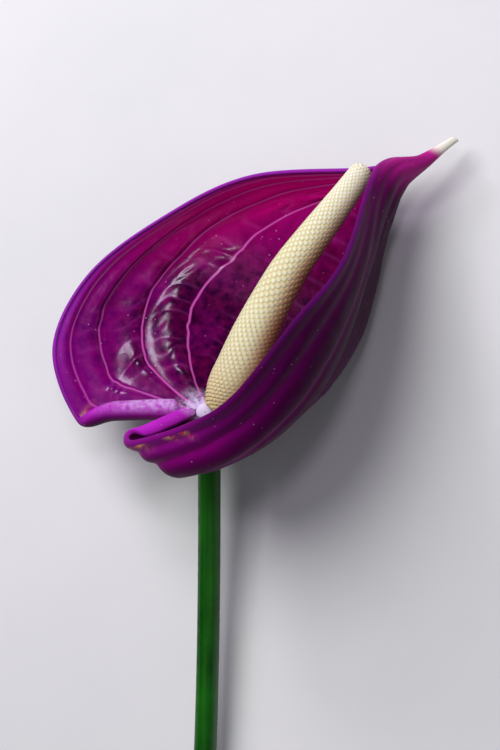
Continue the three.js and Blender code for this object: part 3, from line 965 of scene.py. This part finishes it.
@dataclass
class Spadix(Piece):
    """The cream spike: a fleshy axis packed with small domed florets."""

    axis: Curve = Curve((
        (2.1, -1.3, 1.9), (6.5, -0.4, 2.9), (12, 1.1, 4.1), (18.4, 3.3, 5.2), (24.8, 5.2, 6.1),
        (33.2, 7.2, 6.9), (41, 8.2, 7.2), (48, 8.9, 7), (54.3, 9.6, 6.4), (60.4, 10.5, 5.6)))
    radius: float = 4.98
    tip_radius: float = 2.35
    foot_share: float = 0.54
    foot_end: float = 0.18           # share of the length where the foot reaches full girth
    taper_start: float = 0.25
    taper_power: float = 1.15        # above 1, so that the taper sets in gently
    tip_start: float = 0.962         # the rounded tip starts here
    length: float = 62.6
    sink: float = 0.06               # how far the flesh lies under the floret tops
    floret_size: float = 1.12
    tip_floret: float = 0.72         # size of the last florets as a share of the first
    packing: float = 0.88            # floor area of a floret per square of its size
    floret_reach: float = 0.545      # half width of a floret per its size
    flesh_sides: int = 40
    flesh_rings: int = 60
    tip_rings: int = 8
    finish: SpadixFinish = field(default_factory=SpadixFinish)

    def body_radius(self, share: Array) -> Array:
        """Radius of the spike over its florets."""
        share = np.asarray(share, float)
        foot = lerp(self.foot_share, 1.0, np.sin(np.minimum(share / self.foot_end, 1.0)
                                                   * np.pi / 2))
        taper = (share - self.taper_start) / (1.0 - self.taper_start)
        taper = np.maximum(taper, 0.0) ** self.taper_power
        radius = foot * lerp(self.radius, self.tip_radius, taper)
        dome = np.clip((share - self.tip_start) / (1.0 - self.tip_start), 0.0, 1.0)
        return radius * np.sqrt(np.maximum(1.0 - dome**2, 0.0))

    def surface(self, share: Array, angle: Array, sunk: float) -> tuple[Array, Array]:
        """Points on the spike and the directions that point out of it.

        Args:
            share: places along the axis.
            angle: turns about the axis, in radians.
            sunk: depth under the top of the florets, in mm.

        Returns:
            Points in the head's frame, and unit vectors.
        """
        point, tangent, side, up = self.axis.frames(share)
        around = side * np.sin(angle)[:, None] + up * np.cos(angle)[:, None]
        dome = np.clip((share - self.tip_start) / (1.0 - self.tip_start), 0.0, 1.0)
        lean = (dome**2)[:, None]
        out = normalised(around * (1.0 - lean) + tangent * lean)
        radius = np.maximum(self.body_radius(share) - sunk, 0.02)
        return point + around * radius[:, None] - tangent * (dome * sunk)[:, None], out

    def build_flesh(self, bm: bmesh.types.BMesh) -> None:
        """Lofts the smooth spike under the florets."""
        body = np.linspace(0.0, self.tip_start, self.flesh_rings)
        round_off = np.sin(np.linspace(0.15, 1.0, self.tip_rings) * np.pi / 2)
        shares = np.concatenate([body, lerp(self.tip_start, 1.0, round_off)])
        angles = np.linspace(0.0, TAU, self.flesh_sides, endpoint=False)
        rings = []
        for share in shares:
            points, _ = self.surface(np.full_like(angles, share), angles, self.sink)
            rings.append(FLOWER.from_head(points))
        loft_rings(bm, rings)

    def floret_scale(self, share: Array | float) -> Array | float:
        """Size of a floret as a share of the first; they get smaller towards the tip."""
        return lerp(1.0, self.tip_floret, smoothstep(share, 0.55, 1.0))

    def floret_places(self) -> tuple[Array, Array]:
        """Places and angles of the florets, in the spiral order that they grow in."""
        golden = math.pi * (3.0 - math.sqrt(5.0))
        share, angle = 0.012, 0.0
        shares, angles = [], []
        area = self.floret_size**2 * self.packing
        while share < 0.998:
            shares.append(share)
            angles.append(angle % TAU)
            size = self.floret_scale(share) ** 2
            ring = TAU * max(float(self.body_radius(share)), 0.7)
            share += area * float(size) / ring / self.length
            angle += golden
        return np.array(shares), np.array(angles)

    def floret_template(self) -> bpy.types.Mesh:
        """One floret: a closed four-sided dome."""
        bm = bmesh.new()
        bmesh.ops.create_uvsphere(bm, u_segments=8, v_segments=6, radius=1.0)
        for vert in bm.verts:
            flat = math.hypot(vert.co.x, vert.co.y)
            corner = 1.0 + 0.10 * math.cos(4.0 * math.atan2(vert.co.y, vert.co.x)) * flat
            vert.co.x *= corner
            vert.co.y *= corner
            if vert.co.z > 0.0:
                vert.co.z = vert.co.z**0.8
        mesh = bpy.data.meshes.new("floret")
        bm.to_mesh(mesh)
        bm.free()
        return mesh

    def build(self) -> bpy.types.Object:
        """Models the flesh and sets every floret on it."""
        bm = bmesh.new()
        reach = bm.verts.layers.float.new("reach")
        names = ("floret_age", "towards_tip", "tip", "painted_bounce_side")
        tone_layers = [bm.verts.layers.float.new(name) for name in names]
        self.build_flesh(bm)
        for vert in bm.verts:
            vert[reach] = 1.0
            vert[tone_layers[1]] = 0.6
        template = self.floret_template()
        local = np.array([vert.co for vert in template.vertices])
        spread = np.hypot(local[:, 0], local[:, 1])
        spread = np.where(local[:, 2] >= -0.01, np.minimum(spread, 1.0), 1.0).tolist()
        shares, angles = self.floret_places()
        points, outs = self.surface(shares, angles, self.sink * 1.05)
        _, tangents, sides, _ = self.axis.frames(shares)
        # Painted shade with orange bounce light on the right side, fading towards the tip.
        bounce_shade = smoothstep(np.sum(outs * -sides, axis=1), -0.05, 0.8)
        bounce_shade = bounce_shade * (1.0 - 0.75 * smoothstep(shares, 0.5, 0.95))
        sizes = self.floret_size * self.floret_scale(shares)
        rng = np.random.default_rng(23)
        for k, share in enumerate(shares):
            out = outs[k]
            ahead = tangents[k] - out * float(np.dot(tangents[k], out))
            ahead = ahead / max(float(np.linalg.norm(ahead)), 1e-9)
            level = np.cross(out, ahead)
            turn = math.pi / 4 + rng.uniform(-0.15, 0.15)
            first = ahead * math.cos(turn) + level * math.sin(turn)
            second = np.cross(out, first)
            wide = float(sizes[k]) * self.floret_reach * rng.uniform(0.96, 1.04)
            tall = self.sink * rng.uniform(0.98, 1.2)
            cloud = (points[k] + local[:, :1] * wide * first + local[:, 1:2] * wide * second
                     + local[:, 2:] * tall * out)
            start = len(bm.verts)
            bm.from_mesh(template)
            bm.verts.ensure_lookup_table()
            fresh = bm.verts[start:]
            tones = (float(rng.random()) ** 2, float(smoothstep(share, 0.0, 0.35)),
                     float(smoothstep(share, 0.6, 1.0)), float(bounce_shade[k]))
            for vert, place, gone in zip(fresh, FLOWER.from_head(cloud).tolist(), spread):
                vert.co = place
                vert[reach] = gone
                for layer, tone in zip(tone_layers, tones):
                    vert[layer] = tone
        bpy.data.meshes.remove(template)
        log.info("spadix: %d florets", len(shares))
        return finished(bm, "spadix_spike")

    def make(self) -> None:
        """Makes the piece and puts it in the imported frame."""
        piece = self.dressed()
        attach(piece, "root")
        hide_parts("spadix")


# ------------------------------------------------------------------ peduncle


@dataclass(frozen=True)
class StalkFinish:
    """Satin green skin with faint lengthwise streaks, corky specks and a pale cut end; the collar
    at the node carries a painted highlight.
    """

    skin: Colour = colour(18, 104, 10)
    skin_deep: Colour = colour(2, 66, 4)
    streak: Colour = colour(52, 122, 24)
    cork: Colour = colour(44, 30, 16)
    pith: Colour = colour(196, 210, 140)
    bundle: Colour = colour(110, 140, 70)
    # Painted highlight: near-white lavender on the collar at the node.
    painted_highlight: Colour = colour(222, 204, 232)

    def material(self) -> bpy.types.Material:
        """Builds the material."""
        shader = Shader("stalk skin")
        blotch = shader.between(shader.noise(60.0, 3.0, 0.5), 0.35, 0.68)
        fine = shader.noise(1100.0, 3.0, 0.6)
        skin = shader.mix(blotch, self.skin_deep, self.skin)
        skin = shader.tint(skin, shader.between(shader.attribute("streak"), 0.35, 1.0),
                           self.streak, 0.35)
        skin = shader.tint(skin, shader.between(fine, 0.55, 0.8), self.streak, 0.25)
        skin = shader.tint(skin, shader.attribute("cork"), self.cork)
        # Painted highlight on the collar and the top of the stalk.
        skin = shader.tint(skin, shader.attribute("painted_highlight"), self.painted_highlight)
        cut = shader.tint(self.pith, shader.between(shader.cells(1500.0), 0.32, 0.2),
                          self.bundle, 0.75)
        skin = shader.tint(skin, shader.attribute("cut"), cut)
        shader.set("Base Color", skin)
        shader.set("Roughness", shader.math("MULTIPLY_ADD", fine, 0.22, 0.34))
        shader.bump(fine, 0.06, 0.5)
        return shader.material


@dataclass
class Peduncle(Piece):
    """The stalk, cut across at its lower end."""

    axis: Curve = Curve((
        (0.2, 0.2, -3.2), (0.6, -3, -5.0), (0.8, -14, -6.6), (0.7, -36, -8.2), (0.2, -62, -9.8),
        (-0.9, -90, -11.4), (-2.8, -120, -12.8), (-5.4, -150, -14)))
    radius: float = 2.45
    top_radius: float = 2.0
    cut_slant: float = 1.1
    sides: int = 48
    steps: int = 240
    length: float = 152.0
    neck_end: float = 0.12           # share of the length where the stalk reaches full girth
    ribs: int = 5
    rib_height: float = 0.014        # share of the radius
    cork_specks: int = 46
    cork_height: float = 0.05        # mm
    # The collar that closes the node: radius and rise of each ring, in mm.
    collar: tuple[Span, ...] = ((0.3, 0.55), (1.1, 0.45), (1.8, 0.05), (2.05, -0.6), (1.8, -1.5))
    # The sunken pith of the cut end: share of the radius and depth in mm of each ring.
    pith: tuple[Span, ...] = ((0.93, 0.0), (0.80, 0.10), (0.45, 0.22), (0.12, 0.26))
    finish: StalkFinish = field(default_factory=StalkFinish)

    def node_ring(self, radius: float, rise: float, angles: Array) -> Array:
        """A ring of the collar that closes the node, in the stalk's frame."""
        ring = np.column_stack([np.cos(angles), np.sin(angles), np.zeros_like(angles)]) * radius
        return ring + np.array([0.1, 0.0, rise])

    def cork(self, share: float, angles: Array, specks: Array) -> Array:
        """How corky one ring of the stalk is.

        Args:
            share: the ring's place along the stalk.
            angles: turns about the stalk, in radians.
            specks: place, turn and size of each speck, one row each.

        Returns:
            One value from 0 to 1 per angle.
        """
        total = np.zeros_like(angles)
        for where, turn, size in specks:
            gap = ((share - where) * self.length / size) ** 2
            off = np.abs((angles - turn + np.pi) % TAU - np.pi) * self.radius / (size * 0.6)
            total = np.maximum(total, np.exp(-(gap + off**2)))
        return total

    def build(self) -> bpy.types.Object:
        """Lofts the stalk with its faint ribs, corky specks and sunken pith."""
        shares = np.linspace(0.0, 1.0, self.steps + 1)
        angles = np.linspace(0.0, TAU, self.sides, endpoint=False)
        point, tangent, side, up = self.axis.frames(shares)
        rng = np.random.default_rng(31)
        uneven = ValueNoise(3)
        specks = np.column_stack([rng.uniform(0.16, 0.97, self.cork_specks),
                                  rng.normal(-1.2, 0.1, self.cork_specks),
                                  rng.uniform(0.35, 0.8, self.cork_specks)])
        rings, corks, streaks = [], [], []
        for k, share in enumerate(shares):
            base = lerp(self.top_radius, self.radius, smoothstep(share, 0.0, self.neck_end))
            ribs = self.rib_height * np.sin(self.ribs * angles + 1.2 * np.sin(share * 5.0))
            swell = 0.03 * uneven(np.full_like(angles, share * 22.0), angles * 0.9)
            cork = self.cork(share, angles, specks)
            radius = base * (1.0 + ribs) + swell - self.cork_height * (1.0 - cork)
            around = side[k] * np.sin(angles)[:, None] + up[k] * np.cos(angles)[:, None]
            ring = point[k] + around * radius[:, None]
            if k > self.steps - 3:
                ring[:, 1] += (ring[:, 0] - point[k][0]) / self.radius * self.cut_slant
            rings.append(ring)
            corks.append(cork)
            streaks.append(0.5 + 0.5 * uneven(angles * 6.0 + 3.0, np.full_like(angles, share * 9)))
        end = rings[-1]
        centre = end.mean(axis=0)
        for shrink, depth in self.pith:
            rings.append(centre + (end - centre) * shrink - tangent[-1] * depth)
        top = [self.node_ring(radius, rise, angles) for radius, rise in self.collar]
        bm = bmesh.new()
        cork_layer = bm.verts.layers.float.new("cork")
        streak_layer = bm.verts.layers.float.new("streak")
        cut_layer = bm.verts.layers.float.new("cut")
        highlight_layer = bm.verts.layers.float.new("painted_highlight")
        made = loft_rings(bm, [FLOWER.from_stalk(ring) for ring in top + rings])
        cut_start = len(shares)
        for vert in bm.verts:
            vert[cut_layer] = 1.0
        # The collar rings and the top of the stalk take the painted highlight.
        for ring in made[:len(top)]:
            for vert in ring:
                vert[cut_layer] = 0.0
                vert[highlight_layer] = 1.0
        for k, ring in enumerate(made[len(top):]):
            for j, vert in enumerate(ring):
                vert[cut_layer] = 1.0 if k >= cut_start else 0.0
                if k < cut_start:
                    vert[cork_layer] = min(float(corks[k][j]) * 1.3, 1.0)
                    vert[streak_layer] = float(streaks[k][j])
                    vert[highlight_layer] = 1.0 - float(smoothstep(shares[k], 0.0, 0.03))
        return finished(bm, "peduncle_stalk")

    def make(self) -> None:
        """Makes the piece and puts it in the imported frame."""
        piece = self.dressed()
        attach(piece, "root")
        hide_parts("peduncle")


# ------------------------------------------------------------------ studio


@dataclass(frozen=True)
class Lamp:
    """A soft box: where it stands from the head, how big it is, how strong and what it does.

    The direction is seen from the flower's own axes, and the reach is the distance.
    """

    name: str
    direction: tuple[float, float, float]
    reach_mm: float
    size_mm: float
    watts: float
    tint: tuple[float, float, float]
    glossy: bool = True


@dataclass
class Studio:
    """The pale table, the soft lights and the camera."""

    eye_mm: tuple[float, float, float] = (9.45, 7.77, 600.0)
    head_mm: tuple[float, float, float] = (10.0, 15.0, 0.0)
    sensor_mm: float = 36.0
    sky_strength: float = 0.16
    long_side_mm: float = 157.5      # what the view covers at the node, top to bottom
    lamps: tuple[Lamp, ...] = (
        Lamp("key softbox", (-0.46, 0.46, 0.76), 700.0, 420.0, 4.0, (0.96, 0.97, 1.0), False),
        Lamp("window", (-0.51, 0.76, 0.42), 620.0, 150.0, 1.1, (0.90, 0.80, 1.0)),
        Lamp("skylight", (-0.05, 0.26, 0.96), 640.0, 90.0, 0.45, (0.90, 0.80, 1.0)),
    )

    def make_table(self) -> None:
        """Lays a wide pale table top under the flower."""
        bm = bmesh.new()
        bmesh.ops.create_grid(bm, x_segments=1, y_segments=1, size=3.0)
        table = finished(bm, "table")
        shader = Shader("pale table")
        grain = shader.between(shader.noise(9.0, 5.0, 0.6), 0.3, 0.7)
        shader.set("Base Color", shader.mix(grain, colour(226, 226, 224), colour(236, 235, 232)))
        shader.set("Roughness", 0.6)
        table.data.materials.append(shader.material)

    def make_lights(self) -> None:
        """Hangs the soft boxes, aimed at the head, and sets a dim even sky."""
        head = np.array([self.head_mm])
        target = Vector(FLOWER.from_stalk(head)[0])
        for lamp in self.lamps:
            light = bpy.data.lights.new(lamp.name, "AREA")
            light.shape = "DISK"
            light.size = lamp.size_mm * MM
            light.energy = lamp.watts
            light.color = lamp.tint
            holder = bpy.data.objects.new(lamp.name, light)
            away = normalised(np.array([lamp.direction])) * lamp.reach_mm
            holder.location = Vector(FLOWER.from_stalk(head + away)[0])
            holder.visible_glossy = lamp.glossy
            holder.rotation_euler = (target - holder.location).to_track_quat("-Z", "Y").to_euler()
            bpy.context.scene.collection.objects.link(holder)
        world = bpy.data.worlds.new("studio sky")
        world.use_nodes = True
        sky = world.node_tree.nodes["Background"]
        sky.inputs["Color"].default_value = (0.86, 0.90, 1.0, 1.0)
        sky.inputs["Strength"].default_value = self.sky_strength
        world.cycles_visibility.glossy = False
        bpy.context.scene.world = world

    def make_camera(self) -> None:
        """Looks straight down the flower's own upward axis."""
        camera = bpy.data.cameras.new("camera")
        camera.sensor_fit = "VERTICAL"
        camera.sensor_height = self.sensor_mm
        camera.lens = camera.sensor_height * self.eye_mm[2] / self.long_side_mm
        camera.clip_start, camera.clip_end = 0.01, 20.0
        holder = bpy.data.objects.new("camera", camera)
        turn = FLOWER.lying().to_3x3().to_4x4()
        eye = Vector(FLOWER.from_stalk(np.array([self.eye_mm]))[0])
        holder.matrix_world = Matrix.Translation(eye) @ turn
        bpy.context.scene.collection.objects.link(holder)
        bpy.context.scene.camera = holder

    def make(self) -> None:
        """Sets the table, the lights and the camera."""
        self.make_table()
        self.make_lights()
        self.make_camera()
        bpy.context.scene.view_settings.view_transform = "Standard"


# ------------------------------------------------------------------ assembly


def main() -> None:
    """Builds the flower and its studio."""
    logging.basicConfig(level=logging.INFO, format="%(name)s: %(message)s")
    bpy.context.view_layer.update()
    Studio().make()
    Spathe().make()
    Spadix().make()
    Peduncle().make()


if __name__ == "__main__":
    main()
